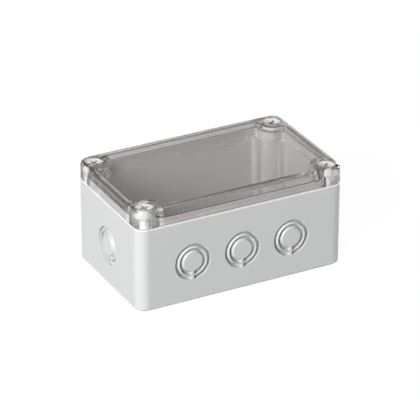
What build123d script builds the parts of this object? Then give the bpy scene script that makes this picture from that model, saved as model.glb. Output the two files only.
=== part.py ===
"""Small polycarbonate enclosure: grey base, clear lid, lid gasket and four captive lid screws.

Millimetres, +Z up. The origin is the centre of the footprint on the resting face.
+X runs along the length, and the long front wall lies at -Y.
"""

import os
from math import atan2, cos, degrees, radians, sin

from build123d import *

# Overall size
length = 125.0
width = 76.0
height = 60.0
corner_r = 6.5

# Base walls
wall_t = 3.0
floor_t = 3.0
rim_z = 48.6
rim_edge = 0.35
bottom_edge = 0.8

# Lid screws, measured in from the two side faces of each corner
screw_inset_x = 7.4
screw_inset_y = 7.4
screw_x = length / 2 - screw_inset_x
screw_y = width / 2 - screw_inset_y
corners = {
    "fl": (-screw_x, -screw_y),
    "fr": (screw_x, -screw_y),
    "bl": (-screw_x, screw_y),
    "br": (screw_x, screw_y),
}

# Inside of the base
inner_length = length - 2 * wall_t
inner_width = width - 2 * wall_t
post_r = 6.6

# Each corner post has a low shoulder along both of its walls, measured from the screw's axis
shoulder_reach = 9.35
shoulder_top_z = 46.7
shoulder_edge_r = 0.4
post_root_r = 1.8
seal_root_r = 3.0

# Tongue on the rim and the lid parts that close over it
tongue_t = 1.3
tongue_top_z = 52.7
gasket_t = 0.7
gasket_side_clearance = 0.05
seal_clearance = 0.25
groove_top_z = tongue_top_z + gasket_t

# Lid
lid_gap = 0.8
lid_bottom_z = rim_z + lid_gap
lid_plate_t = 3.0
lid_edge_r = 3.0
lid_draft = 1.5
rib_t = 1.5
rib_drop = 3.6
rib_half_length = 41.9
rib_end_slope = 2.1
corner_block_r = 9.1

# Lid screw and its retaining ring
screw_pitch = 2.0
screw_turns = 2.5
screw_travel = screw_pitch * screw_turns
head_r = 5.15
web_over_groove_t = 0.8
head_seat_z = groove_top_z + web_over_groove_t
head_h = 4.2
head_edge = 0.35
head_clearance = 0.25
neck_r = 2.9
thread_r = 3.1
thread_clearance = 0.1
thread_length = 5.0
tip_length = 1.5
tip_r = 2.2
tip_clearance = 2.0
recess_span = 6.2
recess_arm = 1.5
recess_depth = 2.6
recess_taper = 8.0
recess_turn = {"fl": 8.0, "fr": 38.0, "bl": 20.0, "br": 30.0}
ring_t = 1.2
ring_r = 4.2
ring_bore_clearance = 0.05
ring_side_clearance = 0.3
ring_top_clearance = 0.2
ring_top_z = lid_bottom_z - screw_travel - ring_top_clearance
ring_bottom_z = ring_top_z - ring_t
lid_hole_clearance = 0.2

# Screw hole and core in each corner post
ring_pocket_r = ring_r + ring_side_clearance
ring_pocket_z = ring_bottom_z - ring_top_clearance
thread_hole_r = thread_r + thread_clearance
tip_z = ring_bottom_z - thread_length - tip_length
screw_hole_depth = rim_z - tip_z + tip_clearance
post_core_r = 3.6
post_core_depth = 28.0

# Knockouts, a small one in a large one, each held by a bridge at its lowest point
# A groove has a steep outer wall, a flat floor and an inner side that slopes up to the flat top
knockout_z = 23.4
knockout_pitch = 30.0
knockout_count = 3
large_knockout_r = 10.75
large_top_r = 8.45
small_knockout_r = 8.05
small_top_r = 5.5
groove_floor_width = 1.1
groove_depth = 2.0
bridge_width = 1.3

# Half width of the band in which an edge or vertex counts as lying on a plane
pick = 0.01

# Bosses for a circuit board or mounting plate
boss_pitch_x = 80.0
boss_pitch_y = 44.0
boss_r = 3.5
boss_h = 6.0
boss_pilot_r = 1.6
boss_pilot_depth = 7.0

# Holes that fasten the base to a wall
fixing_pitch_x = 106.0
fixing_pitch_y = 32.0
fixing_hole_r = 2.25


def either_side(points, axis, place):
    """The points that lie at plus or minus a place along an axis."""
    low = points.filter_by_position(axis, -place - pick, -place + pick)
    high = points.filter_by_position(axis, place - pick, place + pick)
    return low + high


def cavity_outline(block_r, root_r, inset=0.0, with_shoulders=False):
    """Plan of a hollow: a rectangle set in from the inner walls, less a round block at each screw."""
    with BuildSketch() as plan:
        Rectangle(inner_length - 2 * inset, inner_width - 2 * inset)
        reach_x = inner_length / 2 - screw_x
        reach_y = inner_width / 2 - screw_y
        with GridLocations(2 * screw_x, 2 * screw_y, 2, 2):
            Circle(block_r, mode=Mode.SUBTRACT)
        with GridLocations(inner_length, inner_width, 2, 2):
            Rectangle(2 * (reach_x + block_r), 2 * reach_y, mode=Mode.SUBTRACT)
            Rectangle(2 * reach_x, 2 * (reach_y + block_r), mode=Mode.SUBTRACT)
            if with_shoulders:
                Rectangle(2 * (reach_x + shoulder_reach), 2 * reach_y, mode=Mode.SUBTRACT)
                Rectangle(2 * reach_x, 2 * (reach_y + shoulder_reach), mode=Mode.SUBTRACT)
        long_side = plan.vertices().group_by(Axis.Y)
        short_side = plan.vertices().group_by(Axis.X)
        roots = long_side[0] + long_side[-1] + short_side[0] + short_side[-1]
        fillet(roots, root_r)
        if with_shoulders:
            level_with_screw_y = either_side(plan.vertices(), Axis.Y, screw_y)
            level_with_screw_x = either_side(plan.vertices(), Axis.X, screw_x)
            end_edges = either_side(level_with_screw_y, Axis.X, screw_x - shoulder_reach)
            end_edges += either_side(level_with_screw_x, Axis.Y, screw_y - shoulder_reach)
            fillet(end_edges, shoulder_edge_r)
    return plan.sketch


def grown(outline, amount):
    """The seal line moved outward by amount, or inward where amount is negative."""
    with BuildSketch() as plan:
        add(outline)
        offset(amount=amount)
    return plan.sketch


def seal_band(inner_amount, outer_amount):
    """Closed band that follows the seal line between two offsets."""
    with BuildSketch() as plan:
        add(grown(seal_line, outer_amount))
        add(grown(seal_line, inner_amount), mode=Mode.SUBTRACT)
    return plan.sketch


seal_line = cavity_outline(post_r, seal_root_r)
lower_hollow = cavity_outline(post_r, post_root_r, with_shoulders=True)

# Base

# Outer face of each wall, centred on its knockouts, and how many it has
face_planes = [
    (Plane(origin=(0, -width / 2, knockout_z), x_dir=(1, 0, 0), z_dir=(0, -1, 0)), knockout_count),
    (Plane(origin=(0, width / 2, knockout_z), x_dir=(-1, 0, 0), z_dir=(0, 1, 0)), knockout_count),
    (Plane(origin=(-length / 2, 0, knockout_z), x_dir=(0, -1, 0), z_dir=(-1, 0, 0)), 1),
    (Plane(origin=(length / 2, 0, knockout_z), x_dir=(0, 1, 0), z_dir=(1, 0, 0)), 1),
]

with BuildPart() as base:
    with BuildSketch():
        RectangleRounded(length, width, corner_r)
    extrude(amount=rim_z)
    chamfer(base.edges().group_by(Axis.Z)[0], bottom_edge)
    chamfer(base.edges().group_by(Axis.Z)[-1], rim_edge)

    # Tongue, then the hollow below and inside it
    with BuildSketch(Plane.XY.offset(rim_z - tongue_t)):
        add(grown(seal_line, tongue_t))
    extrude(amount=tongue_top_z - rim_z + tongue_t)
    with BuildSketch(Plane.XY.offset(shoulder_top_z)):
        add(seal_line)
    extrude(amount=tongue_top_z - shoulder_top_z, mode=Mode.SUBTRACT)
    with BuildSketch(Plane.XY.offset(floor_t)):
        add(lower_hollow)
    extrude(amount=shoulder_top_z - floor_t, mode=Mode.SUBTRACT)

    # Corner posts: screw hole with its ring pocket, and a core from below
    with Locations((0, 0, rim_z)):
        with GridLocations(2 * screw_x, 2 * screw_y, 2, 2):
            CounterBoreHole(thread_hole_r, ring_pocket_r, rim_z - ring_pocket_z, screw_hole_depth)
    with BuildSketch():
        with GridLocations(2 * screw_x, 2 * screw_y, 2, 2):
            Circle(post_core_r)
    extrude(amount=post_core_depth, mode=Mode.SUBTRACT)

    # Knockouts in the four walls: a round pocket, then the tapered disc that stands in it, twice over
    for face_plane, count in face_planes:
        floor_plane = face_plane.offset(-groove_depth)
        for pocket_r, top_r in ((large_knockout_r, large_top_r), (small_knockout_r, small_top_r)):
            disc_r = pocket_r - groove_floor_width
            with BuildSketch(floor_plane):
                with GridLocations(knockout_pitch, 1, count, 1):
                    Circle(pocket_r)
            extrude(amount=groove_depth, mode=Mode.SUBTRACT)
            with BuildSketch(floor_plane):
                with GridLocations(knockout_pitch, 1, count, 1):
                    Circle(disc_r)
            extrude(amount=groove_depth, taper=degrees(atan2(disc_r - top_r, groove_depth)))
        with BuildSketch(floor_plane):
            with GridLocations(knockout_pitch, 1, count, 1):
                with Locations((0, -large_knockout_r / 2)):
                    Rectangle(bridge_width, large_knockout_r)
        extrude(amount=groove_depth)

    # Board bosses
    with BuildSketch(Plane.XY.offset(floor_t)):
        with GridLocations(boss_pitch_x, boss_pitch_y, 2, 2):
            Circle(boss_r)
    extrude(amount=boss_h)
    with Locations((0, 0, floor_t + boss_h)):
        with GridLocations(boss_pitch_x, boss_pitch_y, 2, 2):
            Hole(boss_pilot_r, boss_pilot_depth)

    # Wall fixing holes
    with Locations((0, 0, floor_t)):
        with GridLocations(fixing_pitch_x, fixing_pitch_y, 2, 2):
            Hole(fixing_hole_r, floor_t)

# Lid

rib_outer_y = inner_width / 2 - seal_clearance
rib_bottom_z = lid_bottom_z - rib_drop
lid_root_r = seal_root_r - seal_clearance - rib_t

with BuildPart() as lid:
    with BuildSketch(Plane.XY.offset(lid_bottom_z)):
        RectangleRounded(length, width, corner_r)
    extrude(amount=height - lid_bottom_z, taper=lid_draft)
    fillet(lid.edges().group_by(Axis.Z)[-1], lid_edge_r)

    # Hollow under the plate, and the groove that takes the gasket and the tongue
    with BuildSketch(Plane.XY.offset(lid_bottom_z)):
        add(cavity_outline(corner_block_r, lid_root_r, inset=seal_clearance + rib_t))
    extrude(amount=height - lid_plate_t - lid_bottom_z, mode=Mode.SUBTRACT)
    with BuildSketch(Plane.XY.offset(lid_bottom_z)):
        add(seal_band(-seal_clearance, tongue_t + seal_clearance))
    extrude(amount=groove_top_z - lid_bottom_z, mode=Mode.SUBTRACT)

    # Guide ribs that reach down inside the two long walls
    for side in (-1, 1):
        with BuildSketch(Plane.XZ.offset(-side * (rib_outer_y - rib_t / 2))):
            with BuildLine():
                Polyline(
                    (-rib_half_length, lid_bottom_z),
                    (-rib_half_length + rib_end_slope, rib_bottom_z),
                    (rib_half_length - rib_end_slope, rib_bottom_z),
                    (rib_half_length, lid_bottom_z),
                    close=True,
                )
            make_face()
        extrude(amount=rib_t / 2, both=True)

    # Counterbored screw holes
    with Locations((0, 0, height)):
        with GridLocations(2 * screw_x, 2 * screw_y, 2, 2):
            CounterBoreHole(thread_r + lid_hole_clearance, head_r + head_clearance, height - head_seat_z)

# Gasket

with BuildPart() as gasket:
    with BuildSketch(Plane.XY.offset(tongue_top_z)):
        add(
            seal_band(
                gasket_side_clearance - seal_clearance,
                tongue_t + seal_clearance - gasket_side_clearance,
            )
        )
    extrude(amount=gasket_t)


def lid_screw(name):
    """Captive screw: cross-recessed head, smooth neck and a shorter threaded end."""
    x, y = corners[name]
    head_top_z = head_seat_z + head_h
    with BuildPart() as screw:
        with BuildSketch(Plane(origin=(x, y, 0), x_dir=(1, 0, 0), z_dir=(0, -1, 0))):
            with BuildLine():
                Polyline(
                    (0, head_top_z),
                    (head_r, head_top_z),
                    (head_r, head_seat_z),
                    (neck_r, head_seat_z),
                    (neck_r, ring_bottom_z),
                    (thread_r, ring_bottom_z),
                    (thread_r, ring_bottom_z - thread_length),
                    (tip_r, tip_z),
                    (0, tip_z),
                    close=True,
                )
            make_face()
        revolve(axis=Axis((x, y, 0), (0, 0, 1)))
        chamfer(screw.edges().group_by(Axis.Z)[-1], head_edge)
        with BuildSketch(Plane(origin=(x, y, head_top_z), x_dir=turned_x(recess_turn[name]))):
            Rectangle(recess_span, recess_arm)
            Rectangle(recess_arm, recess_span)
        extrude(amount=-recess_depth, taper=recess_taper, mode=Mode.SUBTRACT)
    return screw.part


def turned_x(angle):
    """Unit vector in the XY plane, turned from +X by an angle in degrees."""
    return (cos(radians(angle)), sin(radians(angle)), 0)


def retaining_ring(name):
    """Ring on the screw's neck that stops the screw from leaving the lid."""
    x, y = corners[name]
    with BuildPart() as ring:
        with BuildSketch(Plane.XY.offset(ring_bottom_z)):
            with Locations((x, y)):
                Circle(ring_r)
                Circle(neck_r + ring_bore_clearance, mode=Mode.SUBTRACT)
        extrude(amount=ring_t)
    return ring.part


# Write one file per piece

os.makedirs("parts", exist_ok=True)

base.part.label = "base"
export_step(base.part, "parts/base.step")

lid.part.label = "lid"
export_step(lid.part, "parts/lid.step")

gasket.part.label = "gasket"
export_step(gasket.part, "parts/gasket.step")

for name in corners:
    screw_part = lid_screw(name)
    screw_part.label = "lid_screw_" + name
    export_step(screw_part, "parts/lid_screw_" + name + ".step")
    ring_part = retaining_ring(name)
    ring_part.label = "retaining_ring_" + name
    export_step(ring_part, "parts/retaining_ring_" + name + ".step")
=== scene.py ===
"""Looks of a small polycarbonate enclosure with a clear lid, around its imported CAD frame."""

from math import cos, pi, radians, sin

import bpy
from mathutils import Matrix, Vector


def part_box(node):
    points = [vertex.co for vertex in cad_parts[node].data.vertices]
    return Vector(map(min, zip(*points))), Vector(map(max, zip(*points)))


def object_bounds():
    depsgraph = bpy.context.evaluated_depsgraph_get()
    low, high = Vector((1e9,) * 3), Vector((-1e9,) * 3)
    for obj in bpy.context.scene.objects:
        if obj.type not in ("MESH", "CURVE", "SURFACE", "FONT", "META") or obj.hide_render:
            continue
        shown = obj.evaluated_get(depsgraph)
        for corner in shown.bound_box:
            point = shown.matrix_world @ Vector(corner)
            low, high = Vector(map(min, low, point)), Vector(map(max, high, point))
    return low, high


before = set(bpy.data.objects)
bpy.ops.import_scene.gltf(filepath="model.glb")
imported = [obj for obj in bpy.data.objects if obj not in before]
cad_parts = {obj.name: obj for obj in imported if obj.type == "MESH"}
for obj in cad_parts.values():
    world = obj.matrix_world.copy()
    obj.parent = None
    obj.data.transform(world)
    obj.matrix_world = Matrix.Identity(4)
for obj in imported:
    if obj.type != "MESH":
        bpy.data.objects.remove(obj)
cad_low, cad_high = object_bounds()
middle = (cad_low + cad_high) / 2
screw_low, screw_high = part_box("lid_screw_br")
screw_axis = (screw_low + screw_high) / 2

MM = 0.001
PURE_WHITE = (1, 1, 1)

# Camera, fitted to the photograph and aimed at the object's middle: degrees round from -Y towards +X
# and upwards, metres away, and lens and sensor in millimetres
CAMERA_AZIMUTH = -27.63
CAMERA_ELEVATION = 27.238
CAMERA_DISTANCE = 1.496
CAMERA_LENS = 233.9
CAMERA_SENSOR = 36.0
CAMERA_CLIP = (0.05, 50.0)

# Lamps, aimed at the object's middle too: degrees round and upwards, disk diameter in metres, watts
LAMP_DISTANCE = 3.0
LAMPS = {
    "key": (-57, 27, 1.3, 122.0),
    "top": (30, 78, 2.0, 14.0),
    "right": (94, 9, 0.9, 64.0),
    "back": (126, 12, 1.3, 32.0),
}

# Floor: the grey that lights the object, the grey that is seen, and the share of white light on top of
# that, which grows outwards until no grey is left and is small in mirrors and glass
FLOOR_REACH = 6.0
FLOOR_BOUNCE = (0.38, 0.38, 0.38)
FLOOR_PAPER = (0.60, 0.60, 0.60)
FLOOR_WHITE = 1.06
FLOOR_WHITE_SHARE = 0.88
FLOOR_ALL_WHITE_REACH = 0.8
FLOOR_WHITE_SHARE_IN_GLASS = 0.05

# Soft light from all round, on the object and on what lies under the clear lid
SOFT_LIGHT = 0.10
SOFT_LIGHT_IN_LID = 0.03

# Room that mirrors and glass show above the floor: the share of white in it at sines of the elevation
ROOM = ((0.15, 1.0), (0.40, 0.0), (0.52, 0.0), (0.80, 1.0))
ROOM_WALLS = (0.36, 0.34, 0.33)

# Share of the lamps' light that passes the lid's outer faces. A face of the lid is an outer one where
# it lies within the skin of the lid's top or of its rounded outline.
LAMP_LIGHT_THROUGH_TOP = 0.285
LAMP_LIGHT_THROUGH_SIDE = 0.235
LID_SKIN = 1.0 * MM
LID_CORNER_R = 6.5 * MM

# A ray passes many faces of the clear lid, whose edges turn black where it may not bounce so often
BOUNCES_IN_LID = 32

# Surfaces: noise scales of flow marks, of waves in the lid and of the moulding grain, and depths
FLOW_MARKS = 35.0
FLOW_DETAIL = 3.0
LID_WAVES = 60.0
LID_WAVE_DEPTH = 0.003 * MM
LID_WAVE_TINT = 0.995
LID_ROUGHNESS = 0.02
GRAIN = 9000.0
GRAIN_DEPTH = 0.004 * MM
GRAIN_ROUGHNESS = 0.05
PLASTIC_IOR = 1.55
POLYCARBONATE_IOR = 1.585

# The base's rim height, and a band from the chamfer on its outer edge to just above it that is painted
# lighter: a painted highlight on that edge
RIM_Z = 48.6 * MM
RIM_EDGE = 0.35 * MM
PLAY = 0.05 * MM

# Lid screws: the cross recess down from the head's top, and the thread up from the tip
CORNERS = ("fl", "fr", "bl", "br")
HEAD_TOP_Z = screw_high[2]
RECESS_R = 3.4 * MM
RECESS_FLOOR_Z = HEAD_TOP_Z - 2.6 * MM
RECESS_SHADE_DEPTH = 0.5 * MM
THREAD_END_Z = screw_low[2] + 0.9 * MM
THREAD_TOP_Z = THREAD_END_Z + 5.6 * MM
THREAD_PITCH = 2.0 * MM
THREAD_RELIEF = 0.5 * MM
HALF_A_TURN = 0.5


# Materials


class Nodes:
    """The node tree of a material or a world, with one short call for each node."""

    # Colour sockets of a Mix node, which has others of the same names
    COLOUR_A = 6
    COLOUR_B = 7
    COLOUR_OUT = 2

    # Counts of bounces are whole numbers, so from one bounce on they are above this
    NO_BOUNCE = 0.5

    def __init__(self, owner):
        self.owner = owner
        owner.use_nodes = True
        self.tree = owner.node_tree
        self.tree.nodes.clear()

    def add(self, kind, **inputs):
        node = self.tree.nodes.new(kind)
        for name, value in inputs.items():
            node.inputs[name.replace("_", " ")].default_value = value
        return node

    def link(self, source, target):
        self.tree.links.new(source, target)

    def place(self):
        """Place on the object in the frame's axes, which stays with a piece that moves."""
        return self.add("ShaderNodeTexCoord").outputs["Object"]

    def ray(self, kind):
        """Whether the ray that looks here is of a kind, or how often it has bounced in a way."""
        return self.add("ShaderNodeLightPath").outputs[kind]

    def parts(self, vector):
        """The x, y and z of a vector."""
        node = self.add("ShaderNodeSeparateXYZ")
        self.link(vector, node.inputs[0])
        return node.outputs

    def length(self, vector):
        node = self.add("ShaderNodeVectorMath")
        node.operation = "LENGTH"
        self.link(vector, node.inputs[0])
        return node.outputs["Value"]

    def noise(self, scale, detail=2.0):
        node = self.add("ShaderNodeTexNoise", Scale=scale, Detail=detail)
        self.link(self.place(), node.inputs["Vector"])
        return node.outputs["Fac"]

    def spread(self, value, low, high):
        """A 0 to 1 value brought to the range low to high."""
        node = self.add("ShaderNodeMapRange", To_Min=low, To_Max=high)
        self.link(value, node.inputs["Value"])
        return node.outputs["Result"]

    def blend_colours(self, value, first, second):
        node = self.add("ShaderNodeMix")
        node.data_type = "RGBA"
        self.link(value, node.inputs["Factor"])
        for socket, colour in ((self.COLOUR_A, first), (self.COLOUR_B, second)):
            if isinstance(colour, tuple):
                node.inputs[socket].default_value = (*colour, 1)
            else:
                self.link(colour, node.inputs[socket])
        return node.outputs[self.COLOUR_OUT]

    def ramp(self, value, stops):
        """Grey level that runs through the stops, each a place and a level."""
        node = self.add("ShaderNodeValToRGB")
        elements = node.color_ramp.elements
        while len(elements) < len(stops):
            elements.new(1.0)
        for element, (place, level) in zip(elements, stops):
            element.position = place
            element.color = (level, level, level, 1)
        self.link(value, node.inputs["Fac"])
        return node.outputs["Color"]

    def bump(self, height, distance):
        node = self.add("ShaderNodeBump", Distance=distance)
        self.link(height, node.inputs["Height"])
        return node.outputs["Normal"]

    def math(self, operation, *values):
        node = self.add("ShaderNodeMath")
        node.operation = operation
        for socket, value in zip(node.inputs, values):
            if isinstance(value, float):
                socket.default_value = value
            else:
                self.link(value, socket)
        return node.outputs[0]

    def between(self, value, low, high):
        """1 where a value lies between two bounds, 0 elsewhere."""
        above = self.math("GREATER_THAN", value, low)
        below = self.math("LESS_THAN", value, high)
        return self.math("MULTIPLY", above, below)

    def mix_shaders(self, value, first, second):
        node = self.add("ShaderNodeMixShader")
        self.link(value, node.inputs[0])
        self.link(first.outputs[0], node.inputs[1])
        self.link(second.outputs[0], node.inputs[2])
        return node

    def finish(self, shader, output="ShaderNodeOutputMaterial"):
        self.link(shader.outputs[0], self.add(output).inputs["Surface"])
        return self.owner


def moulded_plastic(name, light, dark, roughness, gloss=0.5, rim_highlight=None):
    """Opaque moulded plastic: faint flow marks, fine spark-eroded grain and maybe a painted highlight in
    a lighter band at the base's top edge.
    """
    nodes = Nodes(bpy.data.materials.new(name))
    shader = nodes.add("ShaderNodeBsdfPrincipled", IOR=PLASTIC_IOR, Specular_IOR_Level=gloss)
    colour = nodes.blend_colours(nodes.noise(FLOW_MARKS, FLOW_DETAIL), light, dark)
    # Painted highlight: a lighter colour in the height band at the base's top edge
    if rim_highlight:
        height = nodes.parts(nodes.place())[2]
        on_rim_highlight = nodes.between(height, RIM_Z - RIM_EDGE, RIM_Z + PLAY)
        colour = nodes.blend_colours(on_rim_highlight, colour, rim_highlight)
    nodes.link(colour, shader.inputs["Base Color"])
    grain = nodes.noise(GRAIN)
    dullness = nodes.spread(grain, roughness - GRAIN_ROUGHNESS, roughness + GRAIN_ROUGHNESS)
    nodes.link(dullness, shader.inputs["Roughness"])
    nodes.link(nodes.bump(grain, GRAIN_DEPTH), shader.inputs["Normal"])
    return nodes.finish(shader)


def lamp_light_let_in(nodes):
    """Share of lamp light that a face of the lid lets through: all of it at the inner faces."""
    x, y, z = nodes.parts(nodes.place())
    squares = []
    for socket, reach in ((x, cad_high[0]), (y, cad_high[1])):
        past_corner_centre = nodes.math("SUBTRACT", nodes.math("ABSOLUTE", socket), reach - LID_CORNER_R)
        past_corner_centre = nodes.math("MAXIMUM", past_corner_centre, 0.0)
        squares.append(nodes.math("MULTIPLY", past_corner_centre, past_corner_centre))
    from_corner_centre = nodes.math("SQRT", nodes.math("ADD", *squares))
    on_side = nodes.math("GREATER_THAN", from_corner_centre, LID_CORNER_R - LID_SKIN)
    on_top = nodes.math("GREATER_THAN", z, cad_high[2] - LID_SKIN)
    through_side = nodes.spread(on_side, 1.0, LAMP_LIGHT_THROUGH_SIDE)
    through_top = nodes.spread(on_top, 1.0, LAMP_LIGHT_THROUGH_TOP)
    return nodes.math("MINIMUM", through_side, through_top)


def clear_plastic(name, tint):
    """Clear moulded polycarbonate that lets part of the lamps' light straight in to what it covers."""
    nodes = Nodes(bpy.data.materials.new(name))
    shader = nodes.add("ShaderNodeBsdfPrincipled", IOR=POLYCARBONATE_IOR, Transmission_Weight=1.0)
    waves = nodes.noise(LID_WAVES)
    wave_tint = tuple(level * LID_WAVE_TINT for level in tint)
    nodes.link(nodes.blend_colours(waves, tint, wave_tint), shader.inputs["Base Color"])
    nodes.link(nodes.spread(waves, 0.0, LID_ROUGHNESS), shader.inputs["Roughness"])
    nodes.link(nodes.bump(waves, LID_WAVE_DEPTH), shader.inputs["Normal"])
    lamp_light = nodes.add("ShaderNodeBsdfTransparent")
    nodes.link(lamp_light_let_in(nodes), lamp_light.inputs["Color"])
    return nodes.finish(nodes.mix_shaders(nodes.ray("Is Shadow Ray"), shader, lamp_light))


def from_screw_axis(nodes):
    """Place beside the nearest lid screw's axis, as x and y, and the height."""
    x, y, z = nodes.parts(nodes.place())
    beside = []
    for socket, reach in ((x, screw_axis[0]), (y, screw_axis[1])):
        nearest_axis = nodes.math("MULTIPLY", nodes.math("SIGN", socket), reach)
        beside.append(nodes.math("SUBTRACT", socket, nearest_axis))
    return beside[0], beside[1], z


def recess_shade(nodes, x, y, z):
    """Shade down in the cross recess: 0 at the head's top and all round it, 1 a little further down."""
    squares = nodes.math("ADD", nodes.math("MULTIPLY", x, x), nodes.math("MULTIPLY", y, y))
    near_axis = nodes.math("LESS_THAN", squares, RECESS_R**2)
    in_recess = nodes.math("MULTIPLY", near_axis, nodes.between(z, RECESS_FLOOR_Z - PLAY, HEAD_TOP_Z))
    depth = nodes.math("DIVIDE", nodes.math("SUBTRACT", HEAD_TOP_Z, z), RECESS_SHADE_DEPTH)
    return nodes.math("MULTIPLY", in_recess, nodes.math("MINIMUM", depth, 1.0))


def thread_ridge(nodes, x, y, z):
    """Height of a ridge that winds round the shank's end: half a turn at its crest, 0 elsewhere."""
    turn = nodes.math("DIVIDE", nodes.math("ARCTAN2", y, x), 2 * pi)
    helix = nodes.math("SUBTRACT", nodes.math("DIVIDE", z, THREAD_PITCH), turn)
    ridge = nodes.math("PINGPONG", helix, HALF_A_TURN)
    return nodes.math("MULTIPLY", ridge, nodes.between(z, THREAD_END_Z, THREAD_TOP_Z))


def screw_plastic(name, light, dark, shade, roughness):
    """White plastic with painted shade down in the cross recess and a helical thread on the shank's end.
    """
    nodes = Nodes(bpy.data.materials.new(name))
    shader = nodes.add("ShaderNodeBsdfPrincipled", IOR=PLASTIC_IOR, Roughness=roughness)
    x, y, z = from_screw_axis(nodes)
    plain = nodes.blend_colours(nodes.noise(FLOW_MARKS, FLOW_DETAIL), light, dark)
    colour = nodes.blend_colours(recess_shade(nodes, x, y, z), plain, shade)
    nodes.link(colour, shader.inputs["Base Color"])
    thread = nodes.bump(thread_ridge(nodes, x, y, z), THREAD_RELIEF / HALF_A_TURN)
    nodes.link(thread, shader.inputs["Normal"])
    return nodes.finish(shader)


def dress(node, material):
    """Gives a CAD node its material."""
    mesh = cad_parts[node].data
    mesh.materials.clear()
    mesh.materials.append(material)


BASE_GREY = moulded_plastic(
    "base_grey",
    light=(0.60, 0.605, 0.605),
    dark=(0.585, 0.59, 0.59),
    roughness=0.42,
    gloss=0.3,
    # Painted highlight along the base's top edge
    rim_highlight=(0.77, 0.77, 0.77),
)
LID_CLEAR = clear_plastic("lid_clear", tint=(0.95, 0.94, 0.93))
SCREW_WHITE = screw_plastic(
    "screw_white",
    light=(0.84, 0.85, 0.83),
    dark=(0.81, 0.82, 0.80),
    # Painted shade down in the screws' cross recess
    shade=(0.30, 0.32, 0.29),
    roughness=0.34,
)
GASKET_RUBBER = moulded_plastic(
    "gasket_rubber",
    light=(0.80, 0.73, 0.68),
    dark=(0.78, 0.71, 0.66),
    roughness=0.6,
)
RING_NATURAL = moulded_plastic(
    "ring_natural",
    light=(0.72, 0.72, 0.69),
    dark=(0.68, 0.68, 0.65),
    roughness=0.45,
)

dress("base", BASE_GREY)
dress("lid", LID_CLEAR)
dress("gasket", GASKET_RUBBER)
for corner in CORNERS:
    dress("lid_screw_" + corner, SCREW_WHITE)
    dress("retaining_ring_" + corner, RING_NATURAL)


# Stage


def seen_directly(nodes):
    """1 for what the camera sees directly, in a mirror or through glass, 0 for light on the object."""
    direct = nodes.math("MAXIMUM", nodes.ray("Is Camera Ray"), nodes.ray("Is Glossy Ray"))
    direct = nodes.math("MAXIMUM", direct, nodes.ray("Is Transmission Ray"))
    not_scattered = nodes.math("LESS_THAN", nodes.ray("Diffuse Depth"), nodes.NO_BOUNCE)
    return nodes.math("MULTIPLY", direct, not_scattered)


def make_floor():
    """Pale floor: white where it is seen, apart from the object's soft shadow."""
    mesh = bpy.data.meshes.new("floor")
    corners = [(x * FLOOR_REACH, y * FLOOR_REACH, 0) for x, y in ((-1, -1), (1, -1), (1, 1), (-1, 1))]
    mesh.from_pydata(corners, [], [(0, 1, 2, 3)])
    floor = bpy.data.objects.new("floor", mesh)
    bpy.context.collection.objects.link(floor)
    nodes = Nodes(bpy.data.materials.new("floor"))
    seen = seen_directly(nodes)
    paper = nodes.add("ShaderNodeBsdfDiffuse")
    nodes.link(nodes.blend_colours(seen, FLOOR_BOUNCE, FLOOR_PAPER), paper.inputs["Color"])
    white = nodes.add("ShaderNodeEmission", Color=(*PURE_WHITE, 1), Strength=FLOOR_WHITE)
    outwards = nodes.math("DIVIDE", nodes.length(nodes.place()), FLOOR_ALL_WHITE_REACH)
    share_outwards = nodes.spread(outwards, FLOOR_WHITE_SHARE, 1.0)
    share_in_view = nodes.math("MULTIPLY", share_outwards, nodes.ray("Is Camera Ray"))
    share_in_glass = nodes.math("MULTIPLY", seen, FLOOR_WHITE_SHARE_IN_GLASS)
    share = nodes.math("MAXIMUM", share_in_view, share_in_glass)
    mesh.materials.append(nodes.finish(nodes.mix_shaders(share, paper, white)))


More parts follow.
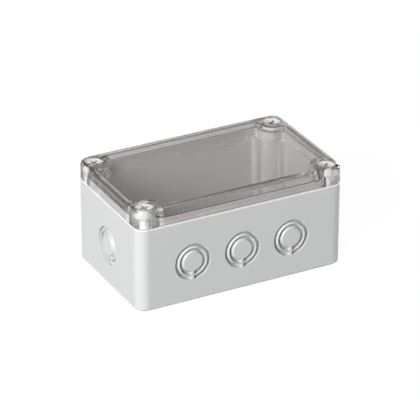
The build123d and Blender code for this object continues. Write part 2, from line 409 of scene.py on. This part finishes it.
def make_world():
    """Dim soft light from all round, white where it is seen, and a dimmer room in mirrors and glass."""
    world = bpy.data.worlds.new("studio")
    bpy.context.scene.world = world
    nodes = Nodes(world)
    light = nodes.add("ShaderNodeBackground")
    through_lid = nodes.math("GREATER_THAN", nodes.ray("Transmission Depth"), nodes.NO_BOUNCE)
    nodes.link(nodes.spread(through_lid, SOFT_LIGHT, SOFT_LIGHT_IN_LID), light.inputs["Strength"])
    room = nodes.add("ShaderNodeBackground")
    direction = nodes.add("ShaderNodeTexCoord").outputs["Generated"]
    room_share = nodes.ramp(nodes.parts(direction)[2], ROOM)
    white_share = nodes.math("MAXIMUM", room_share, nodes.ray("Is Camera Ray"))
    nodes.link(nodes.blend_colours(white_share, ROOM_WALLS, PURE_WHITE), room.inputs["Color"])
    nodes.finish(nodes.mix_shaders(seen_directly(nodes), light, room), "ShaderNodeOutputWorld")


def set_up(holder, azimuth, elevation, distance):
    """Puts a camera or lamp at a distance from the object's middle, aimed at it."""
    a, e = radians(azimuth), radians(elevation)
    away = Vector((sin(a) * cos(e), -cos(a) * cos(e), sin(e)))
    holder.location = middle + away * distance
    holder.rotation_euler = away.to_track_quat("Z", "Y").to_euler()
    bpy.context.collection.objects.link(holder)


def make_lamp(name, azimuth, elevation, diameter, power):
    """Soft box that isn't seen through the clear lid."""
    lamp = bpy.data.lights.new(name, "AREA")
    lamp.shape = "DISK"
    lamp.size = diameter
    lamp.energy = power
    holder = bpy.data.objects.new(name, lamp)
    holder.visible_transmission = False
    set_up(holder, azimuth, elevation, LAMP_DISTANCE)


def make_camera():
    data = bpy.data.cameras.new("camera")
    data.lens = CAMERA_LENS
    data.sensor_width = CAMERA_SENSOR
    data.clip_start, data.clip_end = CAMERA_CLIP
    camera = bpy.data.objects.new("camera", data)
    set_up(camera, CAMERA_AZIMUTH, CAMERA_ELEVATION, CAMERA_DISTANCE)
    bpy.context.scene.camera = camera


make_camera()
make_floor()
make_world()
for lamp_name, values in LAMPS.items():
    make_lamp(lamp_name, *values)
bpy.context.scene.view_settings.view_transform = "Standard"
for kind in ("max_bounces", "glossy_bounces", "transmission_bounces", "transparent_max_bounces"):
    setattr(bpy.context.scene.cycles, kind, BOUNCES_IN_LID)
